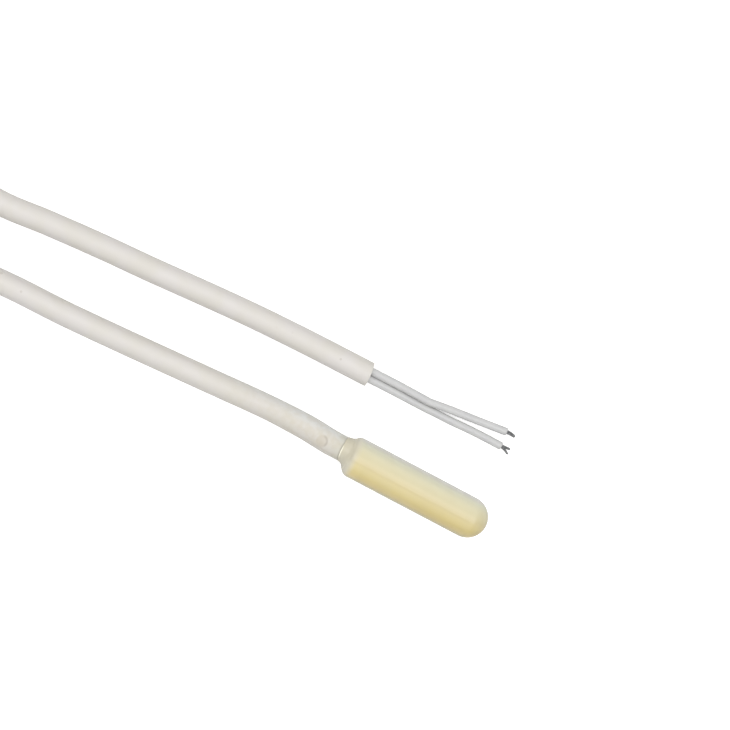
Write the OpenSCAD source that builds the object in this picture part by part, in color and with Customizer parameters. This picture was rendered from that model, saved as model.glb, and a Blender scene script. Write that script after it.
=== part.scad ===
// Cable temperature sensor: an overmoulded probe head on a round two-core cable.
// The head lies along +X with its nose at the +X end. The surface it lies on is z = 0.
// The cable leaves the head towards -X, is folded into a tied hank, and comes back beside
// the head to its stripped end. Each wire has its insulation and seven tinned strands.

/* [Head] */
// Outside diameter of the overmoulded head
head_d = 6; // [5.4:0.1:7]
// Length of the head from its rear lip to the tip of its nose
head_length = 23.5; // [21:0.5:60]
// Thickness of the translucent skin around the capsule
skin_wall = 0.45; // [0.3:0.05:0.6]
// How far the open end of the capsule reaches back into the shoulder
capsule_reach = 0.1; // [0:0.1:0.4]
// Sideways offset of the capsule in its skin, away from the cable's offset
capsule_offset = 0.2; // [0:0.05:0.2]
// Radius of the rounded shoulder at the head's rear
shoulder_r = 1.3; // [1.2:0.1:1.8]
// Radius of the hollow flare between the lip and the shoulder
flare_r = 0.9; // [0.8:0.1:1.4]
// Length of the thin lip that grips the cable
lip_length = 0.1; // [0.1:0.1:0.4]
// Thickness of the lip
lip_wall = 0.15; // [0.1:0.05:0.3]
// Sideways offset of the cable from the head's axis
cable_offset = 0.3; // [0:0.1:0.4]

/* [Capsule] */
// Wall thickness of the capsule
capsule_wall = 0.4; // [0.3:0.05:0.5]
// Diameter of the resin bead that coats the thermistor
bead_d = 2.2; // [1.8:0.1:2.8]
// Length of the resin bead
bead_length = 3.4; // [2.8:0.1:4.5]
// Distance that the bead reaches past the centre of the nose's dome
bead_reach = 0.9; // [0:0.1:1]
// Length and height of the thermistor chip
chip_size = 1; // [0.8:0.1:1.2]
// Thickness of the thermistor chip
chip_thickness = 0.5; // [0.3:0.05:0.6]

/* [Joints in the capsule] */
// Diameter of a thermistor lead
lead_d = 0.2; // [0.15:0.01:0.2]
// Wall thickness of the insulating sleeve on a lead
lead_sleeve_wall = 0.12; // [0.08:0.01:0.15]
// Length of wire insulation that reaches into the capsule
inset_length = 3; // [2:0.1:4]
// Length of bare conductor past that insulation
bare_inset = 2; // [1.6:0.1:2.6]
// Thickness of the solder round the wires of a joint
solder_wall = 0.03; // [0.02:0.01:0.04]
// Wall thickness of the sleeve over a joint
joint_sleeve_wall = 0.12; // [0.08:0.01:0.2]
// Length that the joint sleeve overlaps the wire insulation
sleeve_overlap = 0.8; // [0.5:0.1:1.5]
// Gap between the two joint sleeves
sleeve_gap = 0.1; // [0.05:0.05:0.3]

/* [Cable] */
// Outside diameter of the cable
cable_d = 3.5; // [3.3:0.1:3.7]
// Diameter of an insulated wire
wire_d = 1.15; // [1.1:0.01:1.25]
// Diameter of one tinned strand
strand_d = 0.18; // [0.15:0.01:0.18]
// Length of bare strands past the insulation at the free end
bare_length = 1.5; // [0.8:0.1:3]

/* [Hank] */
// Radius of the innermost fold, at the cable's centre
fold_r = 10.5; // [10:0.5:12]
// Straight length at the hank's waist, where the tie sits
waist_run = 4; // [3.5:0.5:10]
// Layers of cable in the hank
layers = 4; // [2:1:5]
// Width of the tie's band
tie_width = 2.5; // [2:0.5:3.5]
// Thickness of the tie's band
tie_wall = 1; // [0.8:0.1:1.5]

/* [Hidden] */
$fn = 64;

// Sides of a cable, a wire, a thermistor lead and a strand where they follow a route
cable_sides = 8;
wire_sides = 8;
lead_sides = 8;
strand_sides = 6;
// How far a cutting shape reaches past the end that it opens
cut_room = 1;

// Head: the origin is below the middle of its length
head_r = head_d / 2;
lip_x = -head_length / 2;
nose_x = head_length / 2 - head_r;
cable_r = cable_d / 2;
lip_r = cable_r + lip_wall;
flare_x = lip_x + lip_length;
// The flare comes out of the lip on the side where the cable lies lowest in it
flare_sink = 0.05;
flare_start_r = lip_r - cable_offset - flare_sink;
// The flare and the shoulder are two arcs that meet at this angle without a kink
meet_angle = asin(1 - (head_r - flare_start_r) / (flare_r + shoulder_r));
arc_steps = 8;
// The shoulder's arc leaves out the point that it shares with the flare's
shoulder_angle = meet_angle + (90 - meet_angle) / arc_steps;
shoulder_x = flare_x + (flare_r + shoulder_r) * cos(meet_angle);

// Capsule, with its dome round the same point as the head's dome
capsule_x = shoulder_x - capsule_reach;
capsule_r = head_r - skin_wall;
potting_r = capsule_r - capsule_wall;

// Wires, joints and leads in the capsule, on the head's axis
wire_r = wire_d / 2;
strand_r = strand_d / 2;
conductor_d = 3 * strand_d;
lead_r = lead_d / 2;
joint_sleeve_r = wire_r + joint_sleeve_wall;
inner_y = joint_sleeve_r + sleeve_gap / 2;
inset_x = capsule_x + inset_length;
conductor_x = inset_x + bare_inset;
joint_gap = 0.15;
joint_start = inset_x + joint_gap;
joint_tail = 0.4;
joint_length = bare_inset + joint_tail;
solder_web = 0.03;
joint_r = (conductor_d + solder_web + lead_d) / 2 + solder_wall;
joint_rise = (solder_web + lead_d) / 2;
lap_rise = conductor_d / 2 + solder_web + lead_r;
sleeve_start = inset_x - sleeve_overlap;
sleeve_tail = 0.5;
sleeve_end = joint_start + joint_length + sleeve_tail;
lead_sleeve_gap = 0.2;
lead_sleeve_x = sleeve_end + lead_sleeve_gap;
lead_straight = 1;
lead_bend = sleeve_end + lead_straight;
lead_bend_length = 2.5;
exposed_lap = 0.1;
// How far a lead starts inside its joint, and stops short of the chip's far edge
lead_lap = 0.3;
lead_short = 0.1;
lead_y = chip_thickness / 2 + lead_r * cos(180 / lead_sides);
bead_x = nose_x + bead_reach - bead_length;
chip_x = nose_x + bead_reach - bead_d / 2;

// Hank: lobes of two cables side by side, drawn in to four cables wide at the waist.
// Its places are measured from the lip, as the cord's are.
hank_distance = 106;
hank_x = lip_x - hank_distance;
hank_y = 3.5;
hank_height = layers * cable_d;
lobe_r = fold_r + cable_d * 1.5;
waist_half = 2 * cable_d;
pinch_r = fold_r - cable_r;
pinch_y = waist_half + pinch_r;
lobe_x = waist_run / 2 + sqrt((lobe_r + pinch_r) * (lobe_r + pinch_r) - pinch_y * pinch_y);
pinch_angle = atan2(pinch_y, lobe_x - waist_run / 2);
entry_y = lobe_r - cable_r;
// Tie: wall beside its band, height of its head and length of the cut tail
tie_cheek = 0.9;
tie_head = 3;
tie_tail = 1.5;

// Rows of the cord's route: distance behind the lip, sideways place, and how much of the
// height from the table to the head's axis is left
head_run = [
    [6, 0.48, 0.8], [12, 0.45, 0.3], [20, -0.02, 0.05], [28, -0.52, 0], [36, -0.95, 0],
    [44, -1.31, 0], [52, -1.47, 0], [60, -1.95, 0], [66, -3, 0], [72, -5.2, 0], [78, -8, 0]
];
tail_run = [
    [78, 15.3], [72, 12.2], [66, 9.5], [60, 8.1], [52, 8.77], [44, 9.43],
    [36, 9.9], [28, 10.5], [20, 10.98], [12, 11.27], [6, 11.37]
];
// Straight run of the cable behind the lip
straight_run = 2;
jacket_back = 1.6;
jacket_y = 11.42;

// The two wires leave the jacket touching, one a little higher than the other
pair_y = 0.49 * wire_d;
pair_z = 0.1 * wire_d;
// Rows: distance past the jacket's end, sideways place from the start, and how much of the
// height above the table is left
wire_a_run = [
    [1, 0, 1], [3.5, 0.04, 0.93], [7, 0.03, 0.78], [9.6, 0, 0.62], [10.8, 0.15, 0.5],
    [13.7, 0.51, 0.2], [17.7, 0.95, 0], [21.7, 1.43, 0]
];
wire_b_run = [
    [1, 0, 1], [3.5, 0.04, 0.85], [7, 0.05, 0.6], [9.6, 0.06, 0.3], [10.8, 0.1, 0.2],
    [13.7, 0.15, 0.03], [17.7, 0.33, 0], [22, 0.37, 0]
];
// Turn of the strands' lay from one row to the next
lay_step = 15;
// Room round the bundle of strands in its insulation
strand_room = 1.02;
// Sideways and upward bend of the bare ends, as shares of their length
bend_a = [-0.2, 0.02];
bend_b = [0.08, 0.03];
prong_b = [-0.46, 0];

// Points of an arc round c from angle a0 to a1 in n steps
function arc(c, r, a0, a1, n) =
    [for (i = [0:n]) let (a = a0 + (a1 - a0) * i / n) c + r * [cos(a), sin(a)]];

function unit(v) = v / norm(v);

// Heading of a route at its point i
function heading(route, i) =
    unit(route[min(i + 1, len(route) - 1)] - route[max(i - 1, 0)]);
function sideways(t) = unit(cross([0, 0, 1], t));
function upwards(t) = cross(t, sideways(t));

// Ring of n points at radius r round point c, square to heading t and moved by shift across it
function ring(c, t, r, n, shift = [0, 0]) = [
    for (k = [0:n - 1])
        let (g = 360 * (k + 0.5) / n)
        c + sideways(t) * (shift[0] + r * cos(g)) + upwards(t) * (shift[1] + r * sin(g))
];

// Four-cornered faces between ring a and ring b of n points, seen from outside
function band(a, b, n, flip = false) = [
    for (k = [0:n - 1])
        let (m = (k + 1) % n)
        flip ? [a + k, a + m, b + m, b + k] : [a + m, a + k, b + k, b + m]
];

// Solid rod through rings of n points
module rod_through(rings) {
    n = len(rings[0]);
    last = (len(rings) - 1) * n;
    polyhedron(
        points = [for (one = rings) each one],
        faces = concat(
            [[for (k = [0:n - 1]) k]],
            [for (i = [0:len(rings) - 2]) each band(i * n, (i + 1) * n, n)],
            [[for (k = [n - 1:-1:0]) last + k]]
        )
    );
}

// Pipe between outer rings and inner rings, open at both ends
module pipe_through(outer, inner) {
    n = len(outer[0]);
    m = len(outer);
    last = (m - 1) * n;
    bore = m * n;
    polyhedron(
        points = concat([for (one = outer) each one], [for (one = inner) each one]),
        faces = concat(
            [for (i = [0:m - 2]) each band(i * n, (i + 1) * n, n)],
            [for (i = [0:m - 2]) each band(bore + i * n, bore + (i + 1) * n, n, true)],
            band(0, bore, n, true),
            band(last, bore + last, n)
        )
    );
}

// Turns a profile drawn as [along, radius] round the X axis
module revolve_x(profile) {
    rotate([0, 90, 0]) rotate([0, 0, 90]) rotate_extrude()
        polygon([for (p = profile) [p[1], p[0]]]);
}

module rod_x(x0, x1, r) {
    translate([x0, 0, 0]) rotate([0, 90, 0]) cylinder(h = x1 - x0, r = r);
}

// Dome of the nose, with its poles on the head's axis
module dome(r) {
    translate([nose_x, 0, 0]) rotate([0, 90, 0]) sphere(r = r);
}

// Cylinder from x to the nose with a concentric dome
module round_nosed(x, r) {
    rod_x(x, nose_x, r);
    dome(r);
}

// The same at the capsule's place in the head
module capsule_form(x, r) {
    translate([0, -capsule_offset, 0]) round_nosed(x, r);
}

// Moves what is drawn on the head's axis to its place above the table
module on_axis() {
    translate([0, 0, head_r]) children();
}

// Route of the cable at the head: straight through the lip, then down to the table
head_route = concat(
    [for (x = [capsule_x, lip_x, lip_x - straight_run]) [x, cable_offset, head_r]],
    [for (p = head_run) [lip_x - p[0], p[1], cable_r + p[2] * (head_r - cable_r)]],
    [[hank_x + lobe_x, hank_y - entry_y, cable_r]]
);
tail_route = concat(
    [[hank_x + lobe_x, hank_y + entry_y, cable_r]],
    [for (p = tail_run) [lip_x - p[0], p[1], cable_r]],
    [[lip_x - jacket_back, jacket_y, cable_r]]
);

// Route of a wire from the jacket's end: side is 1 for the higher wire and -1 for the lower
function wire_route(rows, side) =
    let (start = [lip_x - jacket_back, jacket_y + side * pair_y, cable_r + side * pair_z])
    concat([start], [
        for (p = rows)
            [start[0] + p[0], start[1] + p[1], wire_r + p[2] * (start[2] - wire_r)]
    ]);
route_a = wire_route(wire_a_run, 1);
route_b = wire_route(wire_b_run, -1);

function rings_along(route, r, n) = [
    for (i = [0:len(route) - 1]) ring(route[i], heading(route, i), r, n)
];

// Where strand k lies in its bundle at row i: the first is the middle one
function strand_place(k, i) =
    k == 0 ? [0, 0] : strand_d * [cos(60 * k + lay_step * i), sin(60 * k + lay_step * i)];

// Rings of strand k: along the insulation, then along its bare end
function strand_rings(route, k, bend, prong) =
    let (
        last = len(route) - 1,
        t = heading(route, last),
        place = strand_place(k, last),
        reach = bare_length * (0.8 + 0.2 * cos(140 * k)),
        away = place[0] < -0.3 * strand_d ? bend + prong : bend
    )
    concat(
        [for (i = [0:last])
            ring(route[i], heading(route, i), strand_r, strand_sides, strand_place(k, i))],
        [for (s = [0.5, 1])
            ring(route[last] + t * reach * s, t, strand_r, strand_sides, place + away * reach * s * s)]
    );

module outer_overmould() {
    color([0.88, 0.87, 0.8, 0.6]) on_axis() difference() {
        union() {
            revolve_x(concat(
                [[flare_x, 0]],
                arc([flare_x, flare_start_r + flare_r], flare_r, -90, -meet_angle, arc_steps),
                arc([shoulder_x, head_r - shoulder_r], shoulder_r, 180 - shoulder_angle, 90, arc_steps),
                [[nose_x, head_r], [nose_x, 0]]
            ));
            dome(head_r);
            translate([0, cable_offset, 0]) rod_x(lip_x, shoulder_x - shoulder_r / 2, lip_r);
        }
        capsule_form(capsule_x, capsule_r);
        translate([lip_x - cut_room, cable_offset, 0]) rotate([0, 90, 0])
            rotate([0, 0, 180 / cable_sides])
                cylinder(h = capsule_x - lip_x + 2 * cut_room, r = cable_r, $fn = cable_sides);
    }
}

module capsule() {
    color([0.93, 0.82, 0.5]) on_axis() difference() {
        capsule_form(capsule_x, capsule_r);
        capsule_form(capsule_x - cut_room, potting_r);
    }
}

// The bead's outline: a tail that the leads leave by, and a round front
module bead_form() {
    front = bead_x + bead_length - bead_d / 2;
    tail_r = lead_y + lead_r + 0.1;
    steps = 8;
    revolve_x(concat(
        [[bead_x, 0]],
        [for (i = [0:steps - 1]) let (s = i / steps)
            [bead_x + (front - bead_x) * s,
             tail_r + (bead_d / 2 - tail_r) * (1 - cos(180 * s)) / 2]],
        arc([front, 0], bead_d / 2, 90, 0, 12)
    ));
}

// One lead's line, from beside its conductor to the face of the chip
function lead_line(side, x0, x1) = [
    [x0, side * inner_y, lap_rise],
    [lead_bend, side * inner_y, lap_rise],
    [lead_bend + lead_bend_length, side * lead_y, 0],
    [x1, side * lead_y, 0]
];

module lead_form(side) {
    line = lead_line(side, joint_start + lead_lap, chip_x + chip_size / 2 - lead_short);
    rod_through(rings_along(line, lead_r, lead_sides));
}

function sleeve_rings(side, r) =
    rings_along(lead_line(side, lead_sleeve_x, bead_x), r, lead_sides);

module lead_sleeve_form(side) {
    rod_through(sleeve_rings(side, lead_r + lead_sleeve_wall));
}

// The short stretch of lead between the sleeve of its joint and its own sleeve
module exposed_lead_form(side) {
    line = [
        for (x = [sleeve_end - exposed_lap, lead_sleeve_x + exposed_lap])
            [x, side * inner_y, lap_rise]
    ];
    rod_through(rings_along(line, lead_r, lead_sides));
}

module joint_form(side) {
    translate([0, side * inner_y, joint_rise])
        rod_x(joint_start, joint_start + joint_length, joint_r);
}

module joint_sleeve_form(side) {
    translate([0, side * inner_y, 0]) rod_x(sleeve_start, sleeve_end, joint_sleeve_r);
}

module wire_x(side, x1, r) {
    translate([0, side * inner_y, 0]) rod_x(capsule_x, x1, r);
}

module chip_form() {
    translate([chip_x, 0, 0]) cube([chip_size, chip_thickness, chip_size], center = true);
}

module potting_resin() {
    color([0.86, 0.74, 0.42]) on_axis() difference() {
        capsule_form(capsule_x, potting_r);
        bead_form();
        for (side = [-1, 1]) {
            wire_x(side, inset_x, wire_r);
            joint_sleeve_form(side);
            lead_sleeve_form(side);
            exposed_lead_form(side);
        }
    }
}

module thermistor_chip() {
    color([0.3, 0.3, 0.32]) on_axis() chip_form();
}

module bead_coating() {
    color([0.12, 0.12, 0.13]) on_axis() difference() {
        bead_form();
        chip_form();
        for (side = [-1, 1]) lead_form(side);
    }
}

module thermistor_lead(side) {
    color([0.75, 0.75, 0.75]) on_axis() lead_form(side);
}

module lead_sleeve(side) {
    color([0.8, 0.55, 0.2]) on_axis()
        pipe_through(sleeve_rings(side, lead_r + lead_sleeve_wall), sleeve_rings(side, lead_r));
}

module solder_joint(side) {
    color([0.7, 0.7, 0.72]) on_axis() difference() {
        joint_form(side);
        wire_x(side, conductor_x, conductor_d / 2);
        lead_form(side);
    }
}

module joint_sleeve(side) {
    color([0.8, 0.55, 0.2]) on_axis() difference() {
        joint_sleeve_form(side);
        translate([0, side * inner_y, 0]) rod_x(sleeve_start - cut_room, sleeve_end + cut_room, wire_r);
    }
}

module inner_conductor(side) {
    color([0.75, 0.75, 0.75]) on_axis() wire_x(side, conductor_x, conductor_d / 2);
}

module inner_insulation(side) {
    color([0.84, 0.84, 0.84]) on_axis() difference() {
        wire_x(side, inset_x, wire_r);
        translate([0, side * inner_y, 0]) rod_x(capsule_x - cut_room, inset_x + cut_room, conductor_d / 2);
    }
}

module cable_head_run() {
    color([0.89, 0.88, 0.85]) rod_through(rings_along(head_route, cable_r, cable_sides));
}

// Half of the hank's outline for one side, from the far lobe to the near one
function hank_half() = concat(
    arc([-lobe_x, 0], lobe_r, 180, pinch_angle, 14),
    arc([-waist_run / 2, pinch_y], pinch_r, pinch_angle - 180, -90, 5),
    arc([waist_run / 2, pinch_y], pinch_r, -90, -pinch_angle, 5),
    arc([lobe_x, 0], lobe_r, 180 - pinch_angle, 0, 14)
);

module cable_hank() {
    outline = hank_half();
    last = len(outline) - 1;
    color([0.89, 0.88, 0.85]) difference() {
        translate([hank_x, hank_y, 0]) linear_extrude(height = hank_height)
            polygon(concat(
                outline,
                [for (i = [last - 1:-1:1]) [outline[i][0], -outline[i][1]]]
            ));
        hank_tie();
        cable_head_run();
        cable_tail_run();
    }
}

// Band round the waist with its head on top and the cut tail beside it
module hank_tie() {
    head_width = tie_width + 2 * tie_cheek;
    color([0.93, 0.93, 0.9]) translate([hank_x, hank_y, 0]) {
        rotate([90, 0, 90]) linear_extrude(height = tie_width, center = true) difference() {
            polygon(concat(
                arc([waist_half, tie_wall], tie_wall, -90, 0, 4),
                arc([waist_half, hank_height], tie_wall, 0, 90, 4),
                arc([-waist_half, hank_height], tie_wall, 90, 180, 4),
                arc([-waist_half, tie_wall], tie_wall, 180, 270, 4)
            ));
            translate([-waist_half, tie_wall])
                square([2 * waist_half, hank_height - tie_wall]);
        }
        translate([-head_width / 2, -head_width / 2, hank_height + tie_wall])
            cube([head_width, head_width, tie_head]);
        translate([-tie_width / 2, head_width / 2, hank_height + tie_wall + tie_head / 2])
            cube([tie_width, tie_tail, tie_wall]);
    }
}

module cable_tail_run() {
    color([0.89, 0.88, 0.86]) rod_through(rings_along(tail_route, cable_r, cable_sides));
}

module wire_insulation(route) {
    bore_r = conductor_d / 2 / cos(180 / wire_sides) * strand_room;
    color([0.84, 0.84, 0.84]) pipe_through(
        rings_along(route, wire_r, wire_sides),
        rings_along(route, bore_r, wire_sides)
    );
}

module strand_a(k) {
    color([0.5, 0.5, 0.5]) rod_through(strand_rings(route_a, k, bend_a, [0, 0]));
}

module strand_b(k) {
    color([0.5, 0.5, 0.5]) rod_through(strand_rings(route_b, k, bend_b, prong_b));
}

outer_overmould();
capsule();
potting_resin();
thermistor_chip();
bead_coating();
thermistor_lead(1);  // thermistor_lead_a
thermistor_lead(-1);  // thermistor_lead_b
lead_sleeve(1);  // lead_sleeve_a
lead_sleeve(-1);  // lead_sleeve_b
solder_joint(1);  // solder_joint_a
solder_joint(-1);  // solder_joint_b
joint_sleeve(1);  // joint_sleeve_a
joint_sleeve(-1);  // joint_sleeve_b
inner_conductor(1);  // inner_conductor_a
inner_conductor(-1);  // inner_conductor_b
inner_insulation(1);  // inner_insulation_a
inner_insulation(-1);  // inner_insulation_b
cable_head_run();
cable_hank();
hank_tie();
cable_tail_run();
wire_insulation(route_a);  // wire_insulation_a
wire_insulation(route_b);  // wire_insulation_b
strand_a(0);  // strand_a1
strand_a(1);  // strand_a2
strand_a(2);  // strand_a3
strand_a(3);  // strand_a4
strand_a(4);  // strand_a5
strand_a(5);  // strand_a6
strand_a(6);  // strand_a7
strand_b(0);  // strand_b1
strand_b(1);  // strand_b2
strand_b(2);  // strand_b3
strand_b(3);  // strand_b4
strand_b(4);  // strand_b5
strand_b(5);  // strand_b6
strand_b(6);  // strand_b7
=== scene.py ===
"""Cable temperature sensor: an overmoulded probe head on a two-core cable with stripped ends.

The head's milky skin lies over a yellow capsule. The cable that the picture doesn't show is
folded into a tied hank on the same surface.
"""

import json
import math

import bmesh
import bpy
from bpy.props import FloatProperty, FloatVectorProperty, IntProperty, PointerProperty
from bpy.types import Operator, Panel, PropertyGroup
from mathutils import Matrix, Vector, noise


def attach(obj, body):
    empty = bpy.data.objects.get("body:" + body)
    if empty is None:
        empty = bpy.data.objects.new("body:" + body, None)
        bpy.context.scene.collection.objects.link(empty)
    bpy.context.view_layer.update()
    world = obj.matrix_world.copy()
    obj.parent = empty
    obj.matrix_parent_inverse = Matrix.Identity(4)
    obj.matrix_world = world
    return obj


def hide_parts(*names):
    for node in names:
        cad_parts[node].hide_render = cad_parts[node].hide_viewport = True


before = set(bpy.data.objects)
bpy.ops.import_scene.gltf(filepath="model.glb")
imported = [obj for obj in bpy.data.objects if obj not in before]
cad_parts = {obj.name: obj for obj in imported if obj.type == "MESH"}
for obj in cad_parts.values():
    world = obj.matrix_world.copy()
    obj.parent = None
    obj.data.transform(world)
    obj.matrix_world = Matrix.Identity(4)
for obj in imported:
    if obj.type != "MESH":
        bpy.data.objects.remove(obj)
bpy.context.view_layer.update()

bl_info = {
    "name": "Cable temperature sensor",
    "version": (1, 0, 0),
    "blender": (4, 5, 0),
    "location": "View3D > Sidebar > Sensor",
    "description": "Builds a probe head with its cable, tied hank and stripped wire ends",
    "category": "Add Mesh",
}

MM = 0.001

# Places and sizes of the solids, in millimetres: the same numbers as in the part's source
LIP_X = -11.75
NOSE_X = 8.75
CAPSULE_X = -9.68
AXIS_Z = 3.0
CABLE_MM = 3.5
CABLE_RADIUS = CABLE_MM / 2
CABLE_OFFSET = 0.3
CAPSULE_OFFSET = 0.2
STRAIGHT_RUN = 2
FOLD_RADIUS = 10.5
HANK_X = LIP_X - 106
HANK_Y = 3.5
WAIST_HALF = 2 * CABLE_MM
JACKET_END = (LIP_X - 1.6, 11.42, CABLE_RADIUS)

# The cord's runs to and from the hank, fitted to the picture, up to 0.2 mm beside the source's.
# Rows: distance behind the lip, sideways place and, on the head's run, the share that is left of
# the height from the table to the head's axis
HEAD_RUN = [
    (6, 0.54, 0.8), (12, 0.48, 0.3), (20, 0.01, 0.05), (28, -0.46, 0), (36, -0.9, 0),
    (44, -1.28, 0), (52, -1.43, 0), (60, -1.95, 0), (66, -3, 0), (72, -5.2, 0), (78, -8, 0),
]
TAIL_RUN = [
    (78, 15.3), (72, 12.2), (66, 9.6), (60, 8.3), (52, 8.95), (44, 9.56),
    (36, 10.0), (28, 10.55), (20, 11.02), (12, 11.28), (6, 11.37),
]
# Rows: distance past the jacket's end, sideways place from the start and share of the
# height above the table that is left
WIRE_A_RUN = [
    (1, 0, 1), (3.5, 0.04, 0.93), (7, 0.03, 0.78), (9.6, 0, 0.62), (10.8, 0.15, 0.5),
    (13.7, 0.51, 0.2), (17.7, 0.95, 0), (21.7, 1.43, 0),
]
WIRE_B_RUN = [
    (1, 0, 1), (3.5, 0.04, 0.85), (7, 0.05, 0.6), (9.6, 0.06, 0.3), (10.8, 0.1, 0.2),
    (13.7, 0.15, 0.03), (17.7, 0.33, 0), (22, 0.37, 0),
]

# In the hank: the room that the cable takes where it changes its place, the outer column's sag at
# the near fold and its angles, and how near the waist's middle the tie presses
SPREAD, LIFT = 1.2, 0.8
SAG, SAG_WITHIN, SAG_OVER = 1.7, 52, 32
PRESS_WITHIN, PRESS_OVER = 11, 8

# The lip's hole, and how far the lip's edge leans back at the hole's top and at its +Y side
LIP_HOLE = 1.845
LIP_LEAN_UP = 0.45
LIP_LEAN_SIDE = 0.1
# How far the jacket's cut end leans back for each millimetre sideways
CUT_SLANT = 0.068
# The witness mark on the jacket: its centre, and the way to the side where its rim carries painted
# shade
MARK_CENTRE = (-15.16, 0.0, 4.55)
MARK_SIDE = (0.883, 0.47, 0)
# Milk that lies behind the capsule: its least depth, and what the capsule's rear edge adds
LEAST_MILK = 0.45
EDGE_MILK = 0.35

# Colour of the skin over the capsule, in linear light, with painted shade in it: darker towards
# the -Y outline and along the middle, under the soft box. Rows: place across the head as a share
# of its radius, from the -Y side to the +Y side, and the colour there
SKIN_AND_SHADE_ACROSS = [
    (-0.95, (0.595, 0.54, 0.35)), (-0.8, (0.68, 0.565, 0.285)), (-0.53, (0.64, 0.535, 0.245)),
    (-0.27, (0.66, 0.565, 0.295)), (0.0, (0.605, 0.525, 0.305)), (0.27, (0.62, 0.565, 0.36)),
    (0.53, (0.63, 0.59, 0.405)), (0.8, (0.63, 0.625, 0.49)), (0.95, (0.635, 0.62, 0.565)),
]

# Sealed plastic: material, two colours, roughness, grains per metre, their depth in millimetres
# and the nodes that are made of it
SEALED_PLASTICS = (
    ("Potting resin", (206, 172, 96), (190, 152, 78), 0.25, 1500.0, 0.01, ["potting_resin"]),
    ("Bead resin", (30, 30, 32), (44, 40, 38), 0.14, 2500.0, 0.01, ["bead_coating"]),
    ("Fired ceramic", (82, 82, 86), (66, 64, 66), 0.7, 9000.0, 0.01, ["thermistor_chip"]),
    ("Amber sleeve", (196, 130, 50), (178, 110, 40), 0.22, 3000.0, 0.01,
     ["lead_sleeve_a", "lead_sleeve_b", "joint_sleeve_a", "joint_sleeve_b"]),
    ("Inner insulation", (214, 214, 214), (204, 204, 203), 0.36, 6000.0, 0.02,
     ["inner_insulation_a", "inner_insulation_b"]),
)

# The camera: tilt in degrees and the way that it leans, the picture's right on the table, what it
# looks at and the width that it shows there, in millimetres
CAMERA_TILT = 6
CAMERA_LEAN = (-0.98, 0.2, 0)
CAMERA_RIGHT = (0.8829, 0.4695, 0)
CAMERA_TARGET = (-14.6, 12.33, 2.0)
VIEW_WIDTH = 104.6
SENSOR_WIDTH = 36


def srgb(r, g, b):
    """An sRGB colour, 0 to 255, in linear light."""
    return tuple(
        c / 12.92 if c <= 0.04045 else ((c + 0.055) / 1.055) ** 2.4
        for c in (r / 255, g / 255, b / 255)
    )


def colour_prop(name, text, rgb):
    return FloatVectorProperty(
        name=name, description=text, subtype="COLOR", size=3, min=0, max=1, default=srgb(*rgb)
    )


def length_prop(name, text, mm):
    return FloatProperty(
        name=name, description=text, default=mm * MM, min=0, unit="LENGTH", precision=5
    )


def number_prop(name, text, value):
    return FloatProperty(name=name, description=text, default=value, min=0)


class HeadSettings(PropertyGroup):
    diameter: length_prop("Diameter", "Outside diameter of the head", 6)
    skin_wall: length_prop("Skin", "Thickness of the translucent skin", 0.45)
    lip_length: length_prop("Lip", "Length of the lip that grips the cable", 0.05)
    lip_wall: length_prop("Lip wall", "Thickness of the lip", 0.1)
    flare_radius: length_prop("Flare", "Radius of the hollow flare behind the shoulder", 1.3)
    shoulder_radius: length_prop("Shoulder", "Radius of the rounded shoulder", 1.3)
    # The shoulder's middle colour is darker than its sides': painted shade that evens out the soft
    # box's light
    skin_colour: colour_prop("Skin", "Colour of the shoulder at its sides", (214, 210, 194))
    shaded_middle_colour: colour_prop("Shaded middle", "Colour of the shoulder's middle", (200, 194, 174))
    capsule_colour: colour_prop("Capsule", "Colour of the capsule under the skin", (234, 214, 156))
    milkiness: number_prop("Milkiness", "How fast the skin clouds over, per millimetre", 9)


class CableSettings(PropertyGroup):
    diameter: length_prop("Diameter", "Outside diameter of the cable", CABLE_MM)
    swell: number_prop("Swell", "How much thicker it is at the head", 0.068)
    swell_length: length_prop("Swell length", "Length over which the swell dies out", 12)
    jacket_colour: colour_prop("Jacket", "Colour of the jacket", (206, 202, 198))
    aged_colour: colour_prop("Aged jacket", "Colour of its yellowed patches", (203, 199, 189))


class WireSettings(PropertyGroup):
    diameter: length_prop("Diameter", "Outside diameter of an insulated wire", 1.15)
    strand: length_prop("Strand", "Diameter of one tinned strand", 0.215)
    bare: length_prop("Bare length", "Length of bare strands past the insulation", 1.5)
    insulation_colour: colour_prop("Insulation", "Colour of the insulation", (188, 188, 188))
    tinned_colour: colour_prop("Tinned copper", "Colour of the strands", (134, 135, 136))


class HankSettings(PropertyGroup):
    fold_radius: length_prop("Fold", "Radius of the innermost fold", FOLD_RADIUS)
    waist_run: length_prop("Waist", "Straight length where the tie sits", 4)
    layers: IntProperty(
        name="Layers", description="Layers of cable in the hank", default=4, min=2, max=5
    )
    tie_width: length_prop("Tie width", "Width of the tie's band", 2.5)
    tie_wall: length_prop("Tie thickness", "Thickness of the tie's band", 1)
    tie_colour: colour_prop("Tie colour", "Colour of the tie", (232, 230, 222))


class StageSettings(PropertyGroup):
    floor_colour: colour_prop("Floor", "Colour of the paper floor", (250, 250, 249))
    floor_bounce: number_prop("Bounce", "Share of light that the floor throws back", 0.6)
    floor_glow: number_prop("Glow", "Brightness that the camera sees the paper add", 0.45)
    key_power: number_prop("Soft box", "Power of the overhead soft box", 3.62)
    fill_power: number_prop("Panels", "Power that the side panels are set from", 2.1)
    sky: number_prop("Room", "Strength of the room's light overhead", 0.15)
    horizon: number_prop("Horizon", "Strength of the room's light at the horizon", 0.42)
    distance: length_prop("Camera distance", "From the camera to what it looks at", 300)


# Node helpers


def set_inputs(made, values):
    """Sets a node's plain input values by socket name, with _ for a space."""
    for name, value in values.items():
        made.inputs[name.replace("_", " ")].default_value = value
    return made


def node(tree, kind, **inputs):
    return set_inputs(tree.nodes.new(kind), inputs)


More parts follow.
